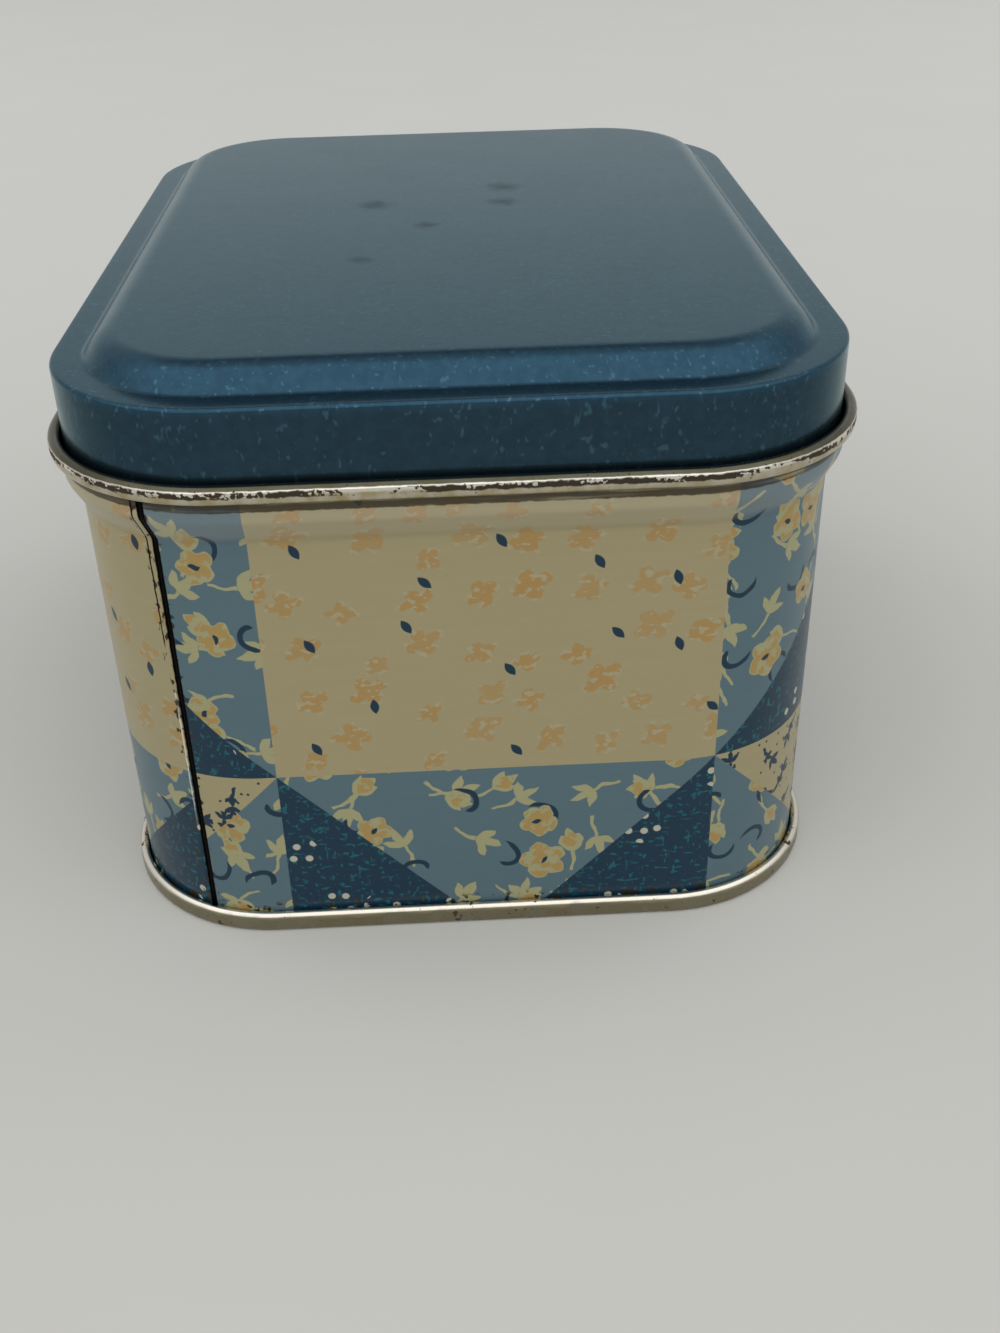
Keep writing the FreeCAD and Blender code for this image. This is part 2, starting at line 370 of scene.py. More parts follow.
@dataclass
class Section:
    """Section of a bent sheet, walked along its middle line in straight runs and round bends.

    Attributes:
        n: Starting distance out from the corner axis.
        z: Starting height.
        heading: Direction of the walk in degrees, 0 outwards and 90 up.
        sheet: Thickness.
    """

    n: float
    z: float
    heading: float
    sheet: float = 0.30
    points: List[np.ndarray] = field(default_factory=list)
    headings: List[np.ndarray] = field(default_factory=list)

    def __post_init__(self) -> None:
        """Put the first point down."""
        self.points.append(np.array([[self.n, self.z]]))
        self.headings.append(np.radians([self.heading]))

    def run(self, length: float, step: float = 2.0) -> None:
        """Go straight on: each point is the last one plus an even share of the length.

        Args:
            length: Length of the run.
            step: Greatest distance between points.
        """
        count = max(1, int(math.ceil(length / step)))
        along = np.linspace(0, length, count + 1)[1:, None]
        way = math.radians(self.heading)
        self.points.append(self.points[-1][-1] + along * np.array([math.cos(way), math.sin(way)]))
        self.headings.append(np.full(count, way))

    def bend(self, angle: float, radius: float, step: float = 9.0) -> None:
        """Turn left by an angle, or right if negative, on a middle-line radius.

        A point of the bend is the centre plus the first arm turned by an even share of the angle.

        Args:
            angle: Turn in degrees.
            radius: Radius of the middle line.
            step: Largest turn between points.
        """
        count = max(2, int(math.ceil(abs(angle) / step)))
        way = math.radians(self.heading)
        side = math.copysign(radius, angle)
        centre = self.points[-1][-1] + side * np.array([-math.sin(way), math.cos(way)])
        turned = way + np.radians(np.linspace(0, angle, count + 1)[1:])
        self.points.append(centre + side * np.stack([np.sin(turned), -np.cos(turned)], axis=1))
        self.headings.append(turned)
        self.heading += angle

    def shift(self, offset: float, angle: float, radius: float) -> None:
        """Step sideways by two opposite bends with a run between, to the left if the angle is positive.

        Args:
            offset: Sideways distance.
            angle: Turn of the first bend in degrees.
            radius: Radius of both bends.
        """
        turn = math.radians(abs(angle))
        self.bend(angle, radius)
        self.run((offset - 2 * radius * (1 - math.cos(turn))) / math.sin(turn), step=0.6)
        self.bend(-angle, radius)

    def height(self) -> float:
        """Return the height of the walk's last point."""
        return float(self.points[-1][-1, 1])

    def walked(self) -> np.ndarray:
        """Return the middle line's points."""
        return np.concatenate(self.points)

    def lengths(self) -> np.ndarray:
        """Return the length walked at each point."""
        steps = np.hypot(*np.diff(self.walked(), axis=0).T)
        return np.concatenate([[0.0], np.cumsum(steps)])

    def faces(self) -> Tuple[np.ndarray, np.ndarray]:
        """Offset the middle line by half a sheet to each side.

        Returns:
            The points of the left face and of the right face.
        """
        way = np.concatenate(self.headings)
        left = np.stack([-np.sin(way), np.cos(way)], axis=1) * self.sheet / 2
        return self.walked() + left, self.walked() - left


@dataclass
class Rings:
    """Rings of points that a carried section leaves, in order over the whole surface.

    Attributes:
        n: Distance out of each ring from the corner axes, one row for each point of the path.
        z: Height, in the same shape.
        shrink: Share of its full plan that each ring has, 1 except on a flat panel.
        v: Second value of the place map for each ring, in millimetres.
        closed: True where the last ring joins the first, False where both close in a middle point.
    """

    n: np.ndarray
    z: np.ndarray
    shrink: np.ndarray
    v: np.ndarray
    closed: bool


def smooth_step(value: np.ndarray, low: float, high: float) -> np.ndarray:
    """Return 0 below low, 1 above high, and 3t^2 - 2t^3 of the share t between."""
    share = np.clip((value - low) / (high - low), 0, 1)
    return share * share * (3 - 2 * share)


def carried_mesh(name: str, path: RoundedPath, rings: Rings) -> bpy.types.Object:
    """Carry a section round the path.

    A point is (axis + n * direction) * shrink in plan, at the ring's height. Rows of points are joined
    by quads that wrap round the path, and round the section where it is closed. An open section ends
    in two middle points, each joined to its ring by triangles. The surface is turned inside out where
    its signed volume is negative.

    Args:
        name: Name of the piece.
        path: Path that carries the section.
        rings: Rings of the surface.

    Returns:
        The piece, linked to the scene, with its place map.
    """
    lengths = path.lengths()
    axis, way = path.frame_at(lengths)
    shape = (len(lengths), len(rings.v))
    n = np.broadcast_to(rings.n, shape)
    z = np.broadcast_to(rings.z, shape)
    plan = (axis[:, None, :] + n[:, :, None] * way[:, None, :]) * rings.shrink[None, :, None]
    points = np.concatenate([plan, z[:, :, None]], axis=2).reshape(-1, 3)
    rows, columns = shape
    spans = columns if rings.closed else columns - 1
    i, j = [grid.ravel() for grid in np.meshgrid(np.arange(rows), np.arange(spans), indexing="ij")]
    quad_i = np.stack([i, i + 1, i + 1, i], axis=1)
    quad_j = np.stack([j, j, j + 1, j + 1], axis=1)
    quads = (quad_i % rows) * columns + quad_j % columns
    along = np.append(lengths, path.total())
    places = np.stack([along[quad_i], rings.v[quad_j % columns]], axis=2)
    corners = [quads.ravel()]
    sizes = [np.full(len(quads), 4)]
    maps = [places.reshape(-1, 2)]
    if not rings.closed:
        k = np.arange(rows)
        for edge, middle, order in ((0, len(points), (0, 1, 2)), (columns - 1, len(points) + 1, (1, 0, 2))):
            first, second = ((k + 1) % rows) * columns + edge, k * columns + edge
            fan = np.stack([first, second, np.full(rows, middle)], axis=1)
            spots = np.stack([along[k + 1], along[k], along[k]], axis=1)
            fan, spots = fan[:, order], spots[:, order]
            corners.append(fan.ravel())
            sizes.append(np.full(rows, 3))
            maps.append(np.stack([spots.ravel(), np.full(3 * rows, rings.v[edge])], axis=1))
        ends = [np.append([0.0, 0.0], z[:, edge].mean()) for edge in (0, columns - 1)]
        points = np.concatenate([points, ends])
    return mesh_object(name, points, corners, sizes, maps)


def mesh_object(name: str, points: np.ndarray, corners: Sequence[np.ndarray], sizes: Sequence[np.ndarray],
                maps: Sequence[np.ndarray]) -> bpy.types.Object:
    """Put arrays into a mesh, faces outwards.

    Args:
        name: Name of the piece.
        points: Vertices in millimetres.
        corners: Vertex numbers of all faces, in groups of faces with the same number of corners.
        sizes: Number of corners of each face, in the same groups.
        maps: Place of each corner in millimetres, in the same groups.

    Returns:
        The piece, linked to the scene.
    """
    volume = 0.0
    for group, count in zip(corners, sizes):
        faces = points[group.reshape(len(count), -1)]
        for second in range(1, faces.shape[1] - 1):
            crossed = np.cross(faces[:, second], faces[:, second + 1])
            volume += float(np.einsum("ij,ij->", faces[:, 0], crossed))
    if volume < 0:
        corners = [g.reshape(len(c), -1)[:, ::-1].ravel() for g, c in zip(corners, sizes)]
        maps = [m.reshape(len(c), -1, 2)[:, ::-1].reshape(-1, 2) for m, c in zip(maps, sizes)]
    flat = np.concatenate(corners).astype(np.int32)
    counts = np.concatenate(sizes)
    mesh = bpy.data.meshes.new(name)
    mesh.vertices.add(len(points))
    mesh.vertices.foreach_set("co", (points * MM).astype(np.float32).ravel())
    mesh.loops.add(len(flat))
    mesh.loops.foreach_set("vertex_index", flat)
    mesh.polygons.add(len(counts))
    mesh.polygons.foreach_set("loop_start", np.concatenate([[0], np.cumsum(counts)[:-1]]).astype(np.int32))
    mesh.polygons.foreach_set("use_smooth", np.ones(len(counts), bool))
    mesh.update(calc_edges=True)
    layer = mesh.uv_layers.new(name=PLACE_MAP)
    layer.data.foreach_set("uv", (np.concatenate(maps) * MM).astype(np.float32).ravel())
    mesh.set_sharp_from_angle(angle=math.radians(SHARP_ANGLE))
    mesh.validate()
    piece = bpy.data.objects.new(name, mesh)
    bpy.context.scene.collection.objects.link(piece)
    return piece


@dataclass(frozen=True)
class Cell:
    """One motif's own square of the print.

    Attributes:
        x: Distance from the motif's middle along its own turned axis, in millimetres.
        y: Distance across it.
        chances: Three random numbers of 0 to 1 that belong to the motif.
    """

    x: Socket
    y: Socket
    chances: Tuple[Socket, Socket, Socket]


class Motifs(FinishShade):
    """Node tree of a finish with small shapes, each a depth worked out from a motif's own coordinates."""

    APART = (37.3, 53.9, 0.0)
    SIDE_LENGTH = 0.8
    SIDE_WIDTH = 0.85
    STEM_BOW = 0.06
    STEM_HALF = 0.26

    def cells(self, place: Socket, size: float, spread: float, draw: int, turn: float = FULL_TURN) -> Cell:
        """Scatter motifs over the print.

        A Voronoi cell's middle is the motif's middle. The place less that middle is turned by a random
        angle that belongs to the cell.

        Args:
            place: Place on the print in millimetres.
            size: Mean distance between motifs.
            spread: How uneven the distances are, 0 to 1.
            draw: Number that sets one scatter apart from another.
            turn: Range of the random angle in radians.

        Returns:
            The motif's own coordinates and chances.
        """
        moved = self.vector("ADD", place, tuple(part * draw for part in self.APART))
        node = self.node("ShaderNodeTexVoronoi", {"voronoi_dimensions": "2D"},
                         {"Vector": moved, "Scale": 1 / size, "Randomness": spread})
        chances = self.split(self.out(node, "Color"))
        off = self.vector("SUBTRACT", moved, self.out(node, "Position"))
        x, y = self.turned(*self.split(off)[:2], chances[0] * turn)
        return Cell(x, y, chances)

    def turned(self, x: Socket, y: Socket, angle: Value) -> Tuple[Socket, Socket]:
        """Return coordinates along and across an axis at an angle in radians.

        Args:
            x: First coordinate.
            y: Second coordinate.
            angle: Angle of the axis.

        Returns:
            The place along the axis and the place across it.
        """
        if isinstance(angle, Socket):
            cosine: Value = self.math("COSINE", angle)
            sine: Value = self.math("SINE", angle)
        else:
            cosine, sine = math.cos(angle), math.sin(angle)
        return x * cosine + y * sine, y * cosine - x * sine

    def distance(self, x: Socket, y: Socket) -> Socket:
        """Return the distance from the middle."""
        return self.math("SQRT", x * x + y * y)

    def polar(self, x: Socket, y: Socket) -> Tuple[Socket, Socket]:
        """Return the distance from the middle and the angle."""
        return self.distance(x, y), self.math("ARCTAN2", y, x)

    def blossom(self, x: Socket, y: Socket, radius: Value, petals: int, notch: float) -> Socket:
        """Return radius * (1 - notch + notch * |cos(petals * angle / 2)|) - distance, the depth in petals."""
        distance, angle = self.polar(x, y)
        return radius * (abs(self.math("COSINE", angle * (petals / 2))) * notch + (1 - notch)) - distance

    def leaf(self, x: Socket, y: Socket, length: float, width: float) -> Socket:
        """Return width * 4t(1 - t) - |y|, the depth in a leaf, where t is the share of its length at x."""
        share = x * (1 / length)
        return share * (1 - share) * (4 * width) - abs(y)

    def spray(self, x: Socket, y: Socket, length: float, width: float, stem: float,
              fan: float = 0.85) -> Socket:
        """Return the depth inside three leaves that fan out from the middle, with a bowed stem behind.

        Args:
            x: Distance along the spray.
            y: Distance across it.
            length: Length of the middle leaf.
            width: Half the width of a leaf.
            stem: Length of the stem.
            fan: Angle between two leaves in radians.

        Returns:
            The greatest of the leaves' depths and the stem's.
        """
        leaves = [self.leaf(x, y, length, width)]
        for angle in (fan, -fan):
            side = self.turned(x, y, angle)
            leaves.append(self.leaf(*side, length * self.SIDE_LENGTH, width * self.SIDE_WIDTH))
        bowed = y - x * x * self.STEM_BOW
        rod = self.least(x * -1, x + stem, (self.STEM_HALF - abs(bowed)) * 3) * 0.5
        return self.most(*leaves, rod)

    def hook(self, x: Socket, y: Socket, radius: float, width: float, reach: float) -> Socket:
        """Return the depth inside a brush stroke that opens out along a spiral.

        Its middle line is at radius * (1 + angle / 5). Its half width is width, and
        2 * width * (1 - (angle / reach)^2) where that is less, so its ends taper.

        Args:
            x: Distance along the hook.
            y: Distance across it.
            radius: Radius at its middle.
            width: Half its greatest width.
            reach: Angle from its middle to each end in radians.

        Returns:
            The depth.
        """
        distance, angle = self.polar(x, y)
        share = angle * (1 / reach)
        half = self.least((1 - share * share) * (2 * width), width)
        return half - abs(distance - (angle * 0.2 + 1) * radius)


@dataclass(frozen=True)
class PrintedFinish:
    """Gloss patchwork print on the wall's outer face, and bare lacquered tinplate on its inner face.

    The inner face comes out at the rolled rim, where lengths are counted from the roll's beginning. A
    zone is the pair of values between which a mask goes from 0 to 1, and a line is a length before the
    seam and half a width.

    Attributes:
        rim: Height in the place map at which the rim's roll begins.
        total: Length of the wall once round.
        columns: Lengths from the seam at which the diamond columns have their middles.
        half: Half the width of a column, which is also the height of half a diamond.
        level: Height of the line between the upper and the lower patches.
        gap_after: Zone of the seam's black gap, after the seam.
        gap_before: Zone of the gap, before the seam.
        fold_line: Black line along the fold.
        fold_high: Zone of heights in which the black line begins.
        fold_highlight: Bright line along the fold, partly worn bright metal and partly a painted highlight.
        fold_highlight_high: Zone of heights in which the bright line ends.
        fold_highlight_low: Zone of heights in which it begins.
        beside: Zone of the worn strip beside the seam.
        foot: Zone of the worn strip above the base.
        painted_light: Zone of the flare that painted light makes paler, counted from the rim.
        rim_shadow: Zone of the painted shadow under the rim, counted from the rim.
        lid_reflection: Zones in which the roll's painted reflection of the dark lid begins and ends.
        rim_highlight: Zones in which the roll's painted highlight begins and ends.
        rust: Zones in which the roll's rust begins and ends.
        specks: Zone in which rust specks begin.
    """

    rim: float
    total: float
    columns: Tuple[float, ...] = (-12.16, 95.25, 221.3, 328.7, 455.3)
    half: float = 24.1
    level: float = 25.9
    gap_after: Zone = (0.76, 0.66)
    gap_before: Zone = (0.42, 0.28)
    fold_line: Zone = (1.0, 0.11)
    fold_high: Zone = (44.0, 50.0)
    fold_highlight: Zone = (0.58, 0.09)
    fold_highlight_high: Zone = (40.0, 34.0)
    fold_highlight_low: Zone = (14.0, 24.0)
    beside: Zone = (1.5, 1.2)
    foot: Zone = (4.4, 3.4)
    painted_light: Zone = (-8.4, -6.6)
    rim_shadow: Zone = (-3.1, -2.9)
    lid_reflection: Tuple[Zone, Zone] = ((0.2, 0.5), (1.88, 1.74))
    rim_highlight: Tuple[Zone, Zone] = ((1.7, 1.9), (2.5, 2.2))
    rust: Tuple[Zone, Zone] = ((1.85, 2.05), (2.85, 2.6))
    specks: Zone = (0.6, 1.2)

    def calico(self, s: Motifs, place: Socket) -> Socket:
        """Cream ground with scattered ochre blossoms and navy seeds.

        Args:
            s: Tree.
            place: Place on the print in millimetres.

        Returns:
            The colour.
        """
        cell = s.cells(s.warped(place, 1.5, 1.5), size=7.4, spread=0.7, draw=1, turn=0.9)
        depth = s.blossom(cell.x * 0.85, cell.y * 1.1, cell.chances[1] + 1.45, petals=4, notch=0.5)
        gaps = s.ease(s.noise(s.stretched(place, 0.8, 1.1), 0.95, 1.0), 0.56, 0.62)
        petals = s.inside(depth, 0.2) * (1 - gaps * 0.9)
        light = s.inside(depth + 0.4, 0.4) * gaps
        tint = s.mix(cell.chances[2] * 0.35, Ink.OCHRE, Ink.CREAM)
        colour = s.mix(light * 0.7, Ink.CREAM, Ink.PALE)
        colour = s.mix(petals, colour, tint)
        seed = s.cells(place, size=12.4, spread=0.75, draw=2, turn=0.9)
        grain = s.leaf(seed.y + 1.15, seed.x - 0.1, length=2.3, width=0.58)
        seeds = s.inside(grain, 0.15) * (seed.chances[1] < 0.92)
        return s.mix(seeds, colour, Ink.NAVY)

    def floral(self, s: Motifs, place: Socket) -> Socket:
        """Slate ground with straw blossoms on leafy stems, and navy tendrils.

        Args:
            s: Tree.
            place: Place on the print in millimetres.

        Returns:
            The colour.
        """
        rough = s.warped(place, 2.2, 1.3)
        sprig = s.cells(rough, size=8.4, spread=0.4, draw=4)
        leaves = s.spray(sprig.x + 0.3, sprig.y, length=3.7, width=0.72, stem=3.6)
        colour = s.mix(s.inside(leaves, 0.15) * (sprig.chances[1] < 0.85), Ink.SLATE, Ink.STRAW)
        blush = s.ease(s.noise(place, 1.5, 2.0), 0.44, 0.50)
        bud = s.cells(rough, size=9.4, spread=0.4, draw=12)
        petals = s.spray(bud.x + 0.9, bud.y, length=4.1, width=1.0, stem=3.8, fan=0.45)
        shown = bud.chances[1] < 0.75
        colour = s.mix(s.inside(petals, 0.15) * shown, colour, Ink.STRAW)
        core = s.inside(s.leaf(bud.x + 0.4, bud.y, length=3.1, width=1.05), 0.3) * blush
        colour = s.mix(core * shown, colour, Ink.HONEY)
        tendril = s.cells(s.warped(place, 4.0, 1.2), size=10.2, spread=0.55, draw=5)
        stroke = s.hook(tendril.x + 1.3, tendril.y, radius=1.9, width=0.38, reach=1.8)
        colour = s.mix(s.inside(stroke, 0.12) * (tendril.chances[1] < 0.85), colour, Ink.NAVY)
        bloom = s.cells(rough, size=10.4, spread=0.5, draw=3)
        whole = s.blossom(bloom.x, bloom.y, bloom.chances[1] * 0.8 + 2.5, petals=5, notch=0.25)
        shown = bloom.chances[2] < 0.82
        colour = s.mix(s.inside(whole, 0.15) * shown, colour, Ink.STRAW)
        colour = s.mix(s.inside(whole - 0.2, 0.3) * blush * shown, colour, Ink.HONEY)
        heart = s.leaf(bloom.x + 0.75, bloom.y + 0.1, length=1.5, width=0.36)
        return s.mix(s.inside(heart, 0.12) * shown, colour, Ink.NAVY)

    def speckled(self, s: Motifs, place: Socket) -> Socket:
        """Navy ground with teal flecks and small clusters of cream dots.

        Args:
            s: Tree.
            place: Place on the print in millimetres.

        Returns:
            The colour.
        """
        strokes = [s.noise(s.warped(s.stretched(place, *factors), 1.0, 0.7), 0.8, 1.0)
                   for factors in ((1.3, 0.55), (0.55, 1.3))]
        flecks = s.ease(s.most(*strokes), 0.62, 0.69)
        colour = s.mix(flecks * 0.8, Ink.NAVY, Ink.TEAL)
        cluster = s.cells(place, size=9.5, spread=0.6, draw=6)
        near = s.distance(cluster.x, cluster.y) < 2.7
        dot = s.cells(place, size=2.3, spread=0.45, draw=7)
        spot = s.inside(0.53 - s.distance(dot.x, dot.y), 0.16) * near * (dot.chances[1] < 0.75)
        return s.mix(spot, colour, Ink.DOT)

    def sprigged(self, s: Motifs, place: Socket) -> Socket:
        """Cream ground with fine navy sprigs and dots.

        Args:
            s: Tree.
            place: Place on the print in millimetres.

        Returns:
            The colour.
        """
        twig = s.cells(s.warped(place, 1.1, 0.7), size=5.8, spread=0.5, draw=8)
        front = s.spray(twig.x - 0.4, twig.y, length=2.3, width=0.42, stem=3.2)
        back = s.spray(twig.x + 1.2, twig.y, length=1.7, width=0.36, stem=0.2)
        dots = s.cells(place, size=1.7, spread=0.7, draw=9)
        specks = s.inside(0.2 - s.distance(dots.x, dots.y), 0.1) * (dots.chances[1] < 0.3)
        return s.mix(s.most(s.inside(s.most(front, back), 0.12), specks), Ink.CREAM, Ink.NAVY)

    def patches(self, s: Motifs, place: Socket, u: Socket, v: Socket) -> Socket:
        """Lay the patchwork out.

        The distance d to the nearest column's middle and the height above the level line give the
        patches: a diamond is where d plus the height's size is under half a column, and the lower
        corners of a panel are cut off at 45 degrees.

        Args:
            s: Tree.
            place: Place on the print in millimetres.
            u: Length from the seam.
            v: Height.

        Returns:
            The colour of the whole print.
        """
        d = s.least(*[abs(u - middle) for middle in self.columns])
        rise = v - self.level
        column = s.inside(self.half - d)
        above = s.inside(rise)
        diamond = s.inside(self.half - d - abs(rise)) * column
        corner = s.inside(self.half - d - rise) * (1 - column) * (1 - above)
        colour = s.mix((1 - column) * above, self.floral(s, place), self.calico(s, place))
        colour = s.mix(s.most(diamond * above, corner), colour, self.speckled(s, place))
        return s.mix(diamond * (1 - above), colour, self.sprigged(s, place))

    def wear(self, s: Motifs, place: Socket, u: Socket, v: Socket, ragged: Socket) -> Tuple[Socket, ...]:
        """Wear of the print along the side seam and the foot.

        Args:
            s: Tree.
            place: Place on the print in millimetres.
            u: Length from the seam.
            v: Height.
            ragged: Noise about 0 that breaks up the edges.

        Returns:
            Masks of the black gap, the black line, the worn spots and the bright line, which is partly worn
            metal and partly a painted highlight.
        """
        before = self.total - u
        tall = v + ragged * 16
        gap = s.ease(u + ragged * 0.12, *self.gap_after)
        gap = s.most(gap, s.ease(before + ragged * 0.2, *self.gap_before))
        at, half = self.fold_line
        line = s.inside(half - abs(before + ragged * 0.3 - at), 0.1) * s.ease(tall, *self.fold_high)
        beside = s.ease(s.least(u * 1.3, before) + ragged * 1.6, *self.beside)
        beside = beside * s.ease(s.noise(s.stretched(place, 1.0, 0.6), 0.9, 3.0), 0.56, 0.61)
        foot = s.ease(v + ragged * 1.5, *self.foot) * s.ease(s.noise(place, 1.2, 3.0), 0.57, 0.61)
        # The bright line along the fold is partly worn bright metal and partly a painted highlight.
        at, half = self.fold_highlight
        edge = s.inside(half - abs(before + ragged * 0.2 - at), 0.08)
        edge = edge * s.ease(tall, *self.fold_highlight_high) * s.ease(tall, *self.fold_highlight_low)
        return gap, line, s.most(beside, foot), edge

    def metal(self, s: Motifs, place: Socket, roll: Socket, ragged: Socket) -> Tuple[Socket, ...]:
        """Bare metal of the inner face: dull in patches, and on the roll a painted reflection of the dark
        lid, a painted highlight and rust in turn.

        Args:
            s: Tree.
            place: Place on the wall in millimetres.
            roll: Length from the roll's beginning.
            ragged: Noise about 0 that breaks up the edges.

        Returns:
            The colour, the roughness, and a mask of the rust.
        """
        begin, end = self.rust
        face = s.ease(roll + ragged * 0.6, *begin) * s.ease(roll + ragged * 0.6, *end)
        blotch = s.noise(s.stretched(place, 0.10, 0.4), 1.1, 5.0) * 0.7 + s.noise(place, 0.6, 3.0) * 0.3
        specks = s.ease(s.noise(place, 0.6, 4.0), 0.66, 0.70) * s.ease(roll, *self.specks)
        rust = s.most(face * s.ease(blotch, 0.475, 0.495), specks)
        dull = s.noise(place, 2.5, 4.0)
        colour = s.mix(s.ease(dull, 0.35, 0.7), Ink.TIN, Ink.LACQUER)
        # Painted highlight along the roll.
        begin, end = self.rim_highlight
        bright = s.ease(roll, *begin) * s.ease(roll + ragged * 0.3, *end)
        colour = s.mix(bright * 0.8, colour, Ink.GLINT)
        # Painted reflection of the dark lid on the roll's top.
        begin, end = self.lid_reflection
        lid_reflection = s.ease(roll + ragged * 0.4, *begin) * s.ease(roll + ragged * 0.2, *end)
        colour = s.mix(lid_reflection * 0.9, colour, Ink.PAINTED_DARK)
        rough = dull * 0.12 + 0.07 + lid_reflection * 0.08 + rust * 0.5
        return s.mix(rust, colour, Ink.RUST), rough, rust

    def material(self) -> bpy.types.Material:
        """Print outside, bare metal inside and on the roll, painted shadow under the rim, and a worn, grimy
        seam.

        Returns:
            The wall's material.
        """
        s = Motifs("printed_wall")
        place = s.scaled(s.out(s.node("ShaderNodeUVMap", {"uv_map": PLACE_MAP})), 1 / MM)
        u, v, _ = s.split(place)
        printed = s.inside(v, 0.05)
        ragged = s.noise(place, 1.3, 3.0) - 0.5
        streak = s.noise(s.stretched(place, 0.06, 1.0), 0.8, 3.0)
        ink = s.mix((streak - 0.5) * 0.08 + 0.03, self.patches(s, place, u, v), Ink.GRIME)
        below = v - self.rim
        # Painted light: the flare just below the rim is made paler.
        ink = s.mix(s.ease(below, *self.painted_light) * 0.07, ink, Ink.GLINT)
        # Painted shadow under the rim, in a rust-dark colour.
        painted_shade = s.ease(below + ragged * 0.4, *self.rim_shadow) * s.ease(streak, 0.2, 0.5)
        ink = s.mix(painted_shade * 0.9, ink, Ink.RUST)
        gap, line, worn, edge = self.wear(s, place, u, v, ragged)
        ink = s.mix(worn, ink, Ink.RUST)
        # Painted highlight along the fold's worn edge.
        ink = s.mix(edge * 0.4, ink, Ink.GLINT)
        hole = s.most(gap, line) * printed
        metal, metal_rough, rust = self.metal(s, place, (v * -1) - self.rim, ragged)
        colour = s.mix(hole, s.mix(printed, metal, ink), Ink.GRIME)
        bare = s.most((1 - printed) * (1 - rust), hole)
        rough = printed * 0.30 + (1 - printed) * metal_rough + gap * printed * 0.4
        height = s.noise(place, 0.5, 2.0) * 0.2 - rust * 0.5
        return s.finish(Base_Color=colour, Metallic=bare, Roughness=rough, Specular_IOR_Level=0.30,
                        Normal=s.bump(height, 0.00006, 0.5))


@dataclass(frozen=True)
class TinplateFinish:
    """Bare tinplate under a thin warm lacquer, with rust specks.

    Attributes:
        name: Name of the material.
        warmth: Share of the lacquer's colour.
        rust: Value of the noise at which rust begins.
        shade_top: Height under which the metal gets painted shade, darker towards the ground.
        crest: Height of a roll's top that gets a painted highlight.
        crest_from: Zone in which the bright strip begins, counted from the crest.
        crest_to: Zone in which it ends.
    """

    name: str
    warmth: float
    rust: float
    shade_top: float
    crest: float
    crest_from: Zone = (-0.6, -0.25)
    crest_to: Zone = (0.35, 0.15)

    def material(self) -> bpy.types.Material:
        """Metal that is dulled in patches, with a painted highlight on a crest and painted shade low down,
        and flecked with rust.

        Returns:
            The material.
        """
        s = FinishShade(self.name)
        place = s.object_place()
        level = s.split(place)[2]
        dull = s.noise(place, 3.0, 4.0)
        colour = s.mix(dull * (2 * self.warmth), Ink.TIN, Ink.LACQUER)
        over = level - self.crest
        # Painted highlight on the roll's crest.
        painted_light = s.ease(over, *self.crest_from) * s.ease(over, *self.crest_to)
        colour = s.mix(painted_light * 0.8, colour, Ink.GLINT)
        # Painted shade: the metal darkens towards the ground, below the top height given for it.
        wavy = level + (dull - 0.5) * 1.6
        painted_shade = s.ease(wavy, self.shade_top + 0.4, self.shade_top - 0.4)
        colour = s.mix(painted_shade * 0.5, colour, Ink.PAINTED_DARK)
        flecks = s.noise(place, 0.9, 3.0) * 0.6 + s.noise(place, 6.0, 2.0) * 0.4
        rust = s.ease(flecks, self.rust, self.rust + 0.04)
        colour = s.mix(rust, colour, Ink.RUST)
        rough = dull * 0.16 + 0.10 + painted_shade * 0.1 + rust * 0.45
        height = s.noise(place, 0.4, 2.0) * 0.3 - rust * 0.5
        return s.finish(Base_Color=colour, Metallic=1 - rust, Roughness=rough,
                        Normal=s.bump(height, 0.00005, 0.5))


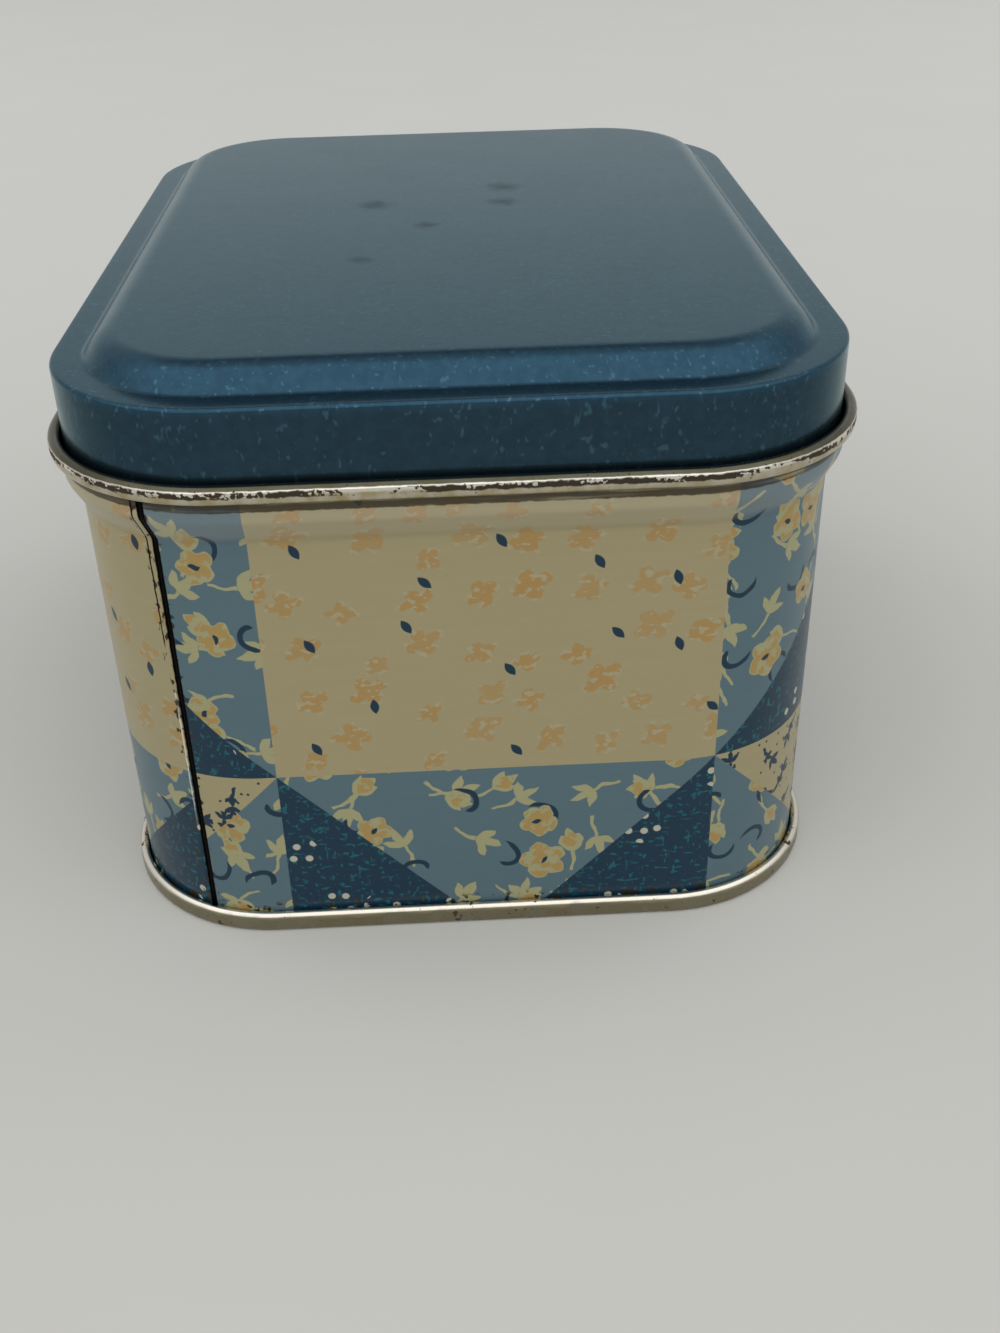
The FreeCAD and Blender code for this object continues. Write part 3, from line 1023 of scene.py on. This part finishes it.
@dataclass(frozen=True)
class LidPaint:
    """Clear slate-blue lacquer over bright tinplate, with a fine lighter speckle.

    Attributes:
        metal: Share of the light that the tinplate under the lacquer throws back.
        fleck: Width of the finest flecks.
        roughness: Roughness of the gloss.
        gloss: Level of the lacquer's own gloss.
        gloss_tint: Colour of that gloss.
        shoulder: Height of the shoulder, under which the skirt is a little darker with painted shade.
        top: Height above which the panel has faint dark marks.
        marks: Place of each mark, across and along, and its radius.
    """

    metal: float = 0.90
    fleck: float = 0.55
    roughness: float = 0.20
    gloss: float = 0.25
    gloss_tint: Tuple[float, float, float, float] = (0.79, 0.91, 0.92, 1.0)
    shoulder: float = 78.6
    top: float = 81.5
    marks: Tuple[Tuple[float, float, float], ...] = (
        (-11.0, 8.2, 4.2), (9.8, 17.0, 4.2), (9.0, 7.6, 3.6), (-12.0, -21.6, 2.8), (-2.8, -4.6, 3.0))

    def material(self) -> bpy.types.Material:
        """Mottled slate blue, ragged flecks in drifts, painted shade on the skirt, and a few soft marks on
        the panel.

        Returns:
            The material.
        """
        s = Motifs("speckled_lid")
        place = s.object_place()
        level = s.split(place)[2]
        mottle = s.noise(place, 1.4, 4.0)
        colour = s.mix(s.ease(mottle, 0.35, 0.65) * 0.6, Ink.LID, Ink.LID_SHADE)
        drift = (s.noise(place, 9.0, 2.0) - 0.5) * 0.12
        upright = s.stretched(place, 1.0, 1.0, 0.55)
        fine = s.ease(s.noise(upright, self.fleck, 0.5) + drift, 0.65, 0.77)
        large = s.ease(s.noise(upright, self.fleck * 1.7, 1.0) + drift, 0.66, 0.76)
        crown = s.ease(level, self.shoulder, self.shoulder + 0.8)
        colour = s.mix(s.most(fine, large) * 0.6 * (1 - crown * 0.35), colour, Ink.LID_FLECK)
        # Painted shade: the skirt under the shoulder is darkened a little.
        skirt = s.ease(level, self.shoulder - 0.2, self.shoulder - 1.2)
        colour = s.mix(skirt * 0.24, colour, Ink.RUST)
        x, y, _ = s.split(s.warped(place, 2.5, 2.2))
        spots = [s.ease(s.distance(x - across, y - along), reach, 0.0) for across, along, reach in self.marks]
        marks = s.most(*spots) * s.ease(level, self.top, self.top + 0.2)
        colour = s.mix(marks * 0.3, colour, Ink.GRIME)
        rough = s.noise(place, 12.0, 3.0) * 0.08 + (self.roughness - 0.04) + marks * 0.15
        return s.finish(Base_Color=colour, Roughness=rough, Metallic=self.metal,
                        Specular_IOR_Level=self.gloss, Specular_Tint=self.gloss_tint,
                        Normal=s.bump(s.noise(place, 0.45, 2.0), 0.00003, 0.25))


@dataclass(frozen=True)
class FloorFinish:
    """Plain pale matt floor."""

    roughness: float = 0.9

    def material(self) -> bpy.types.Material:
        """Pale, with a faint unevenness.

        Returns:
            The material.
        """
        s = FinishShade("pale_floor")
        place = s.object_place()
        colour = s.mix(s.noise(place, 60.0, 3.0) * 0.04, Ink.FLOOR, Ink.GRIME)
        return s.finish(Base_Color=colour, Roughness=self.roughness)


@dataclass
class SheetPiece:
    """Piece of bent sheet: a section that is carried round the path, dressed and hung on the frame.

    Attributes:
        path: Path that carries the section.
        name: Name of the piece.
        body: Body that it moves with.
        node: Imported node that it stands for.
        slot: Material slot of the record.
    """

    path: RoundedPath
    name: str = ""
    body: str = "tin"
    node: str = ""
    slot: str = ""

    def rings(self) -> Rings:
        """Return the rings of the surface, which each piece works out from its own sizes."""
        raise NotImplementedError

    def finish(self) -> bpy.types.Material:
        """Return the material, which each piece sets out from its own sizes."""
        raise NotImplementedError

    def build(self) -> bpy.types.Object:
        """Make the piece, dress it and hang it on the frame.

        Returns:
            The piece.
        """
        piece = carried_mesh(self.name, self.path, self.rings())
        piece.data.materials.append(self.finish())
        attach(piece, self.body)
        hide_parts(self.node)
        return piece


@dataclass
class PrintedWall(SheetPiece):
    """Printed wall: one sheet bent round, with its foot hook, flared mouth, rolled rim and side seam.

    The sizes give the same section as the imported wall, in millimetres and degrees. Lengths along the
    wall are counted from the seam, and waves are the size, count and start of each sine of the lean.
    """

    name: str = "printed_wall"
    node: str = "body_wall"
    slot: str = "printed_wall"
    middle_n: float = 21.15
    hook_pitch: float = 0.50
    hook_tip: float = 2.30
    hook_z: float = 1.15
    flare_start: float = 60.7
    flare_out: float = 1.82
    flare_angle: float = 28.0
    flare_bend: float = 1.8
    rim_top: float = 69.8
    rim_radius: float = 0.82
    rim_face: float = 0.85
    rim_tuck: float = 110.0
    seam_low: float = 1.95
    seam_depth: float = 0.20
    fold_reach: float = 0.55
    step_zone: Zone = (0.05, 0.8)
    lock_depth: float = 0.24
    lock_inside: float = 1.05
    lock_low: float = 6.0
    lock_high: float = 52.2
    lock_from: float = -3.4
    lock_to: float = 0.9
    lock_ease: float = 0.4
    swell_ease: Zone = (0.7, 0.5)
    rim_margin: float = 0.2
    roll_zone: Zone = (-0.5, 0.8)
    roll_lean: float = 0.05
    roll_drop: float = 0.03
    waves: Tuple[Tuple[float, float, float], ...] = ((0.22, 7, 1.0), (0.16, 17, 0.0), (0.12, 41, 2.0))
    rim_start: float = 0.0

    def section(self) -> Tuple[Section, np.ndarray]:
        """Walk the wall's section.

        Returns:
            The section, and its heights in the place map, which equal z on the straight wall.
        """
        walk = Section(self.middle_n + 2 * self.hook_pitch, self.hook_tip, -90)
        walk.run(self.hook_tip - self.hook_z)
        walk.bend(-180, self.hook_pitch, step=18)
        foot = len(walk.walked()) - 1
        walk.run(self.flare_start - self.hook_z)
        walk.shift(self.flare_out, -self.flare_angle, self.flare_bend)
        walk.run(self.rim_top - self.rim_radius - walk.height(), step=0.5)
        rim = len(walk.walked()) - 1
        walk.bend(-180, self.rim_radius - walk.sheet / 2, step=10)
        walk.run(self.rim_face, step=0.3)
        walk.bend(-self.rim_tuck, self.rim_radius - walk.sheet / 2, step=12)
        lengths = walk.lengths()
        heights = lengths - lengths[foot] + self.hook_z
        self.rim_start = float(heights[rim])
        return walk, heights

    def rings(self) -> Rings:
        """Bend the section into the wall's real, slightly uneven form.

        The outer face sinks into a groove along the seam: a rounded fold on the front side and a
        gentler step on the other. The inner face swells where the folded layers lie behind it. The
        roll leans in by a few hundredths along its length, as a sum of sines.

        Returns:
            The rings of the wall.
        """
        walk, heights = self.section()
        left, right = walk.faces()
        n = np.concatenate([left[:, 0], right[::-1, 0]])
        z = np.concatenate([left[:, 1], right[::-1, 1]])
        high = np.concatenate([heights, heights[::-1]])
        outside = np.concatenate([np.zeros(len(left), bool), np.ones(len(right), bool)])
        u = self.path.lengths()[:, None]
        total = self.path.total()
        beside = np.where(u < total / 2, u, u - total)
        fold = np.clip(1 - np.clip(beside, 0, None) / self.fold_reach, 0, 1)
        fold = 1 - np.sqrt(np.clip(1 - fold ** 2, 0, 1))
        step = 1 - smooth_step(-beside, *self.step_zone)
        groove = np.where(beside >= 0, fold, step)
        on_wall = (high > self.seam_low) & (high < self.rim_start + self.rim_margin)
        locked = smooth_step(high, self.lock_low, self.lock_low + self.lock_ease)
        locked = locked * smooth_step(-high, -self.lock_high, self.lock_ease - self.lock_high)
        depth = self.seam_depth + (self.lock_depth - self.seam_depth) * locked
        swell = smooth_step(beside, self.lock_from, self.lock_from + self.swell_ease[0])
        swell = swell * smooth_step(-beside, -self.lock_to, self.swell_ease[1] - self.lock_to)
        inwards = np.where(outside, groove * depth, swell * self.lock_inside * locked) * on_wall
        rolled = smooth_step(high - self.rim_start, *self.roll_zone)
        turn = 2 * math.pi * u / total
        lean = sum((size * np.sin(count * turn + start) for size, count, start in self.waves), 0.5)
        inwards = inwards + self.roll_lean * lean * rolled
        v = np.where(outside, high, -high)
        return Rings(n - inwards, z - self.roll_drop * (1 - lean) * rolled, np.ones(len(v)), v, closed=True)

    def finish(self) -> bpy.types.Material:
        """Return the print, set out to the rim that the section has."""
        return PrintedFinish(rim=self.rim_start, total=self.path.total()).material()


@dataclass
class BaseEnd(SheetPiece):
    """Bottom: recessed panel, upright rim inside the wall, and the roll that closes the base seam."""

    name: str = "base_end"
    node: str = "bottom_end"
    slot: str = "bare_tinplate"
    middle_n: float = 21.15
    pitch: float = 0.50
    bend: float = 0.50
    seam_height: float = 3.0
    panel_under: float = 3.6
    panel_bend: float = 0.90
    panel_steps: int = 10
    foot_gap: float = 0.20
    tip_gap: float = 0.05
    sheet: float = 0.30

    def rings(self) -> Rings:
        """Walk from the panel's edge, down inside the wall, under its foot and up over its hook.

        Returns:
            The rings, with the panel closed by rings that shrink to its middle.
        """
        half = self.sheet / 2
        inner = self.middle_n - self.pitch
        outer = self.middle_n + 3 * self.pitch
        level = self.panel_under + half
        edge = inner - self.panel_bend
        roll = self.seam_height - half - self.pitch
        tip = self.sheet + self.foot_gap + half + self.pitch + self.tip_gap
        walk = Section(edge - self.panel_bend, level, 0)
        walk.run(self.panel_bend)
        walk.bend(-90, self.panel_bend)
        walk.run(level - self.panel_bend - self.bend - half)
        walk.bend(90, self.bend)
        walk.run(outer - inner - 2 * self.bend)
        walk.bend(90, self.bend)
        walk.run(roll - self.bend - half)
        walk.bend(180, self.pitch)
        walk.run(roll - tip)
        return panel_rings(walk, self.panel_steps)

    def finish(self) -> bpy.types.Material:
        """Return the metal, with painted shade near the ground and a painted highlight on the seam's crest.
        """
        finish = TinplateFinish(self.slot, warmth=0.6, rust=0.59, shade_top=2.35, crest=self.seam_height)
        return finish.material()


@dataclass
class NeckCollar(SheetPiece):
    """Plain collar inside the mouth, stepped out to guide the lid and hemmed at its top."""

    name: str = "neck_collar_band"
    node: str = "neck_collar"
    slot: str = "collar_tinplate"
    low_n: float = 20.80
    low_z: float = 53.7
    straight: float = 9.5
    step: float = 0.55
    step_angle: float = 30.0
    step_bend: float = 0.5
    top: float = 78.45
    hem_bend: float = 0.20
    hem: float = 2.5

    def rings(self) -> Rings:
        """Walk up the collar, out over its step and back down its hem.

        Returns:
            The rings, closed on themselves.
        """
        walk = Section(self.low_n, self.low_z, 90)
        walk.run(self.straight)
        walk.shift(self.step, -self.step_angle, self.step_bend)
        walk.run(self.top - walk.sheet / 2 - self.hem_bend - walk.height())
        walk.bend(180, self.hem_bend, step=18)
        walk.run(self.hem, step=1.0)
        left, right = walk.faces()
        both = np.concatenate([left, right[::-1]])
        v = np.concatenate([walk.lengths(), -walk.lengths()[::-1]])
        return Rings(both[:, 0], both[:, 1], np.ones(len(both)), v, closed=True)

    def finish(self) -> bpy.types.Material:
        """Return the metal, clean all over."""
        return TinplateFinish(self.slot, warmth=0.3, rust=0.68, shade_top=0.0, crest=0.0).material()


@dataclass
class LiftLid(SheetPiece):
    """Lid: raised panel, shoulder and skirt drawn from one sheet, hemmed at the skirt's edge."""

    name: str = "lift_lid"
    body: str = "lid"
    node: str = "lid"
    slot: str = "speckled_lid"
    middle_n: float = 22.35
    shoulder_z: float = 78.8
    shoulder: float = 3.5
    edge: float = 0.45
    rise: float = 3.1
    slope: float = 50.0
    crown: float = 4.2
    foot: float = 1.4
    skirt_low: float = 64.384
    hem_bend: float = 0.20
    hem: float = 2.5
    panel_steps: int = 18
    sheet: float = 0.30

    def rings(self) -> Rings:
        """Walk from the panel's edge down the slope, out along the shoulder, down the skirt and up its hem.

        Returns:
            The rings, with the panel closed by rings that shrink to its middle.
        """
        half = self.sheet / 2
        level = self.shoulder_z - half
        foot_n = self.middle_n + half - self.shoulder
        turn = math.radians(self.slope)
        bends = self.crown + self.foot
        slope = (self.rise - bends * (1 - math.cos(turn))) / math.sin(turn)
        edge_n = foot_n - bends * math.sin(turn) - slope * math.cos(turn)
        edge_bend = self.edge - half
        walk = Section(edge_n - self.crown, level + self.rise, 0)
        walk.run(self.crown, step=0.8)
        walk.bend(-self.slope, self.crown, step=4)
        walk.run(slope, step=0.4)
        walk.bend(self.slope, self.foot, step=5)
        walk.run(self.middle_n - edge_bend - foot_n, step=0.8)
        walk.bend(-90, edge_bend)
        walk.run(level - edge_bend - self.skirt_low - half - self.hem_bend)
        walk.bend(-180, self.hem_bend, step=18)
        walk.run(self.hem, step=1.0)
        return panel_rings(walk, self.panel_steps)

    def finish(self) -> bpy.types.Material:
        """Return the lid's lacquer."""
        return LidPaint().material()


def panel_rings(walk: Section, count: int) -> Rings:
    """Close a section that starts at a flat panel's edge.

    The first and last rings of the two faces are repeated at a shrinking share of their plan, down to
    near nothing, and a middle point closes them.

    Args:
        walk: Section of the sheet round the panel.
        count: Number of shrunk rings on each face.

    Returns:
        The rings from the upper face's middle, round the sheet's edge, to the lower face's middle.
    """
    left, right = walk.faces()
    share = np.linspace(0, 1, count + 2)[1:-1]
    one = np.ones(len(left))
    n = np.concatenate([np.full(count, left[0, 0]), left[:, 0], right[::-1, 0], np.full(count, right[0, 0])])
    z = np.concatenate([np.full(count, left[0, 1]), left[:, 1], right[::-1, 1], np.full(count, right[0, 1])])
    shrink = np.concatenate([share, one, one, share[::-1]])
    lengths = walk.lengths()
    v = np.concatenate([np.zeros(count), lengths, -lengths[::-1], np.zeros(count)])
    return Rings(n, z, shrink, v, closed=False)


@dataclass
class Studio:
    """Pale floor, soft lights and the camera.

    Attributes:
        camera_at: Place of the camera in millimetres.
        forward: Direction in which it looks.
        up: Direction of the picture's top.
        lens: Focal length in millimetres.
        sensor: Length of the picture's longer side at the lens, in millimetres.
        near: Distance from which the camera sees, in metres.
        floor_reach: Half the side of the floor in millimetres.
        floor_cells: Number of squares along a side of the floor.
        low_light: Strength of the world away from its bright side, which is high in front.
        high_light: Strength of the world on its bright side.
        bright_side: Direction of the bright side, forward and up.
        fade: Cosines to that direction between which the world brightens.
        dark_side: Direction of a dark patch of the world, high behind.
        dark_fade: Cosines to that direction between which the world darkens.
        dark: How much darker the patch is.
        aim: Point that the lamps face, in metres.
        lamps: Name of each pair of lamps, place of the right one in metres, side in metres, and watts.
    """

    camera_at: Tuple[float, float, float] = (-0.818, -223.596, 140.124)
    forward: Tuple[float, float, float] = (0.02809, 0.84758, -0.52992)
    up: Tuple[float, float, float] = (0.0432, 0.5286, 0.8478)
    lens: float = 38.91
    sensor: float = 36.0
    near: float = 0.005
    floor_reach: float = 3000.0
    floor_cells: int = 8
    low_light: float = 0.60
    high_light: float = 1.32
    bright_side: Tuple[float, float] = (-0.6, 0.8)
    fade: Tuple[float, float] = (0.0, 0.8)
    dark_side: Tuple[float, float] = (0.5, 0.866)
    dark_fade: Tuple[float, float] = (0.88, 0.97)
    dark: float = 0.40
    aim: Tuple[float, float, float] = (0.0, 0.0, 0.04)
    lamps: Tuple[Tuple[str, Tuple[float, float, float], float, float], ...] = (
        ("front_", (0.73, -0.87, 0.72), 1.60, 2.2), ("back_", (0.95, 0.50, 0.40), 0.60, 1.6))

    def camera(self) -> bpy.types.Object:
        """Place the camera: its axes are forward x up, up and the reverse of forward.

        Returns:
            The camera.
        """
        data = bpy.data.cameras.new("view")
        data.sensor_width = self.sensor
        data.lens = self.lens
        data.clip_start = self.near
        camera = bpy.data.objects.new("view", data)
        ahead = Vector(self.forward).normalized()
        right = ahead.cross(Vector(self.up)).normalized()
        top = right.cross(ahead)
        turn = Matrix((right, top, -ahead)).transposed().to_4x4()
        camera.matrix_world = Matrix.Translation(Vector(self.camera_at) * MM) @ turn
        bpy.context.scene.collection.objects.link(camera)
        bpy.context.scene.camera = camera
        return camera

    def floor(self) -> bpy.types.Object:
        """Lay the floor: an even grid of x and y at height 0.

        Returns:
            The floor.
        """
        cells, row = self.floor_cells, self.floor_cells + 1
        line = np.linspace(-self.floor_reach, self.floor_reach, row)
        x, y = np.meshgrid(line, line, indexing="ij")
        points = np.stack([x, y, np.zeros_like(x)], axis=2).reshape(-1, 3)
        i, j = [grid.ravel() for grid in np.meshgrid(np.arange(cells), np.arange(cells), indexing="ij")]
        corner = i * row + j
        quads = np.stack([corner, corner + row, corner + row + 1, corner + 1], axis=1)
        mesh = bpy.data.meshes.new("pale_floor")
        mesh.from_pydata((points * MM).tolist(), [], quads.tolist())
        floor = bpy.data.objects.new("pale_floor", mesh)
        mesh.materials.append(FloorFinish().material())
        bpy.context.scene.collection.objects.link(floor)
        return floor

    def lamp(self, name: str, at: Tuple[float, float, float], size: float, power: float) -> bpy.types.Object:
        """Hang a square soft light that no gloss mirrors.

        Args:
            name: Name of the light.
            at: Place in metres.
            size: Side in metres.
            power: Power in watts.

        Returns:
            The light.
        """
        data = bpy.data.lights.new(name, "AREA")
        data.size = size
        data.energy = power
        light = bpy.data.objects.new(name, data)
        light.visible_glossy = False
        turn = (Vector(self.aim) - Vector(at)).to_track_quat("-Z", "Y").to_matrix().to_4x4()
        light.matrix_world = Matrix.Translation(Vector(at)) @ turn
        bpy.context.scene.collection.objects.link(light)
        return light

    def light(self) -> None:
        """Set a world that is brighter high in front, and four soft lamps, two in front and two behind."""
        world = bpy.data.worlds.new("studio")
        world.use_nodes = True
        s = Shade(world.node_tree)
        background = world.node_tree.nodes["Background"]
        _, forward, up = s.split(s.out(s.node("ShaderNodeTexCoord"), "Generated"))
        toward = [forward * way[0] + up * way[1] for way in (self.bright_side, self.dark_side)]
        brighter = s.ease(toward[0], *self.fade) * (self.high_light - self.low_light)
        darker = s.ease(toward[1], *self.dark_fade) * self.dark
        s.feed(background.inputs["Color"], (1.0, 1.0, 1.0, 1.0))
        s.feed(background.inputs["Strength"], brighter - darker + self.low_light)
        bpy.context.scene.world = world
        for side, end in ((-1, "left"), (1, "right")):
            for name, at, size, power in self.lamps:
                self.lamp(name + end, (side * at[0], at[1], at[2]), size, power)

    def build(self) -> None:
        """Set up the whole studio."""
        self.camera()
        self.floor()
        self.light()
        bpy.context.scene.view_settings.view_transform = "Standard"


def main() -> None:
    """Load the frame, build every piece round it, and set up the studio."""
    logging.basicConfig(level=logging.INFO, format="%(name)s %(message)s")
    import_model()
    path = RoundedPath()
    makers: Sequence[Type[SheetPiece]] = (PrintedWall, BaseEnd, NeckCollar, LiftLid)
    for maker in makers:
        piece = maker(path).build()
        log.info("%s: %d faces", piece.name, len(piece.data.polygons))
    Studio().build()


if __name__ == "__main__":
    main()
